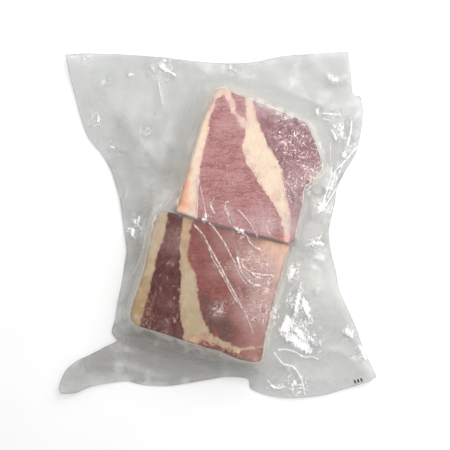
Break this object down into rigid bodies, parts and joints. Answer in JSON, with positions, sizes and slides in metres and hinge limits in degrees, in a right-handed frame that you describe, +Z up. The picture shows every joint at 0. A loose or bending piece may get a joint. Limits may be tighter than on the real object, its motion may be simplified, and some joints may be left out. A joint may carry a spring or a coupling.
{
  "type": "pack of frozen beef brisket",
  "caption": "Blocks of frozen beef brisket side by side in a clear vacuum bag with a wide, wavy border of film, lying flat.",
  "frame": {"origin": "middle of the bag's outline, on the surface the pack lies on", "axes": "+X across the bag, +Y along the bag towards the end beyond the slightly taller block, +Z up out of the side shown"},
  "size_m": [0.2935, 0.3223, 0.044],
  "materials": {
    "film": "clear, crinkled vacuum-bag film, hazy where layers of it lie on each other",
    "meat": "frozen brisket: dull red lean with fine grain, cream fat seams and white frost",
    "print": "thin black ink"
  },
  "bodies": {
    "root": {"vacuum_bag": "film"}
  },
  "joints": []
}
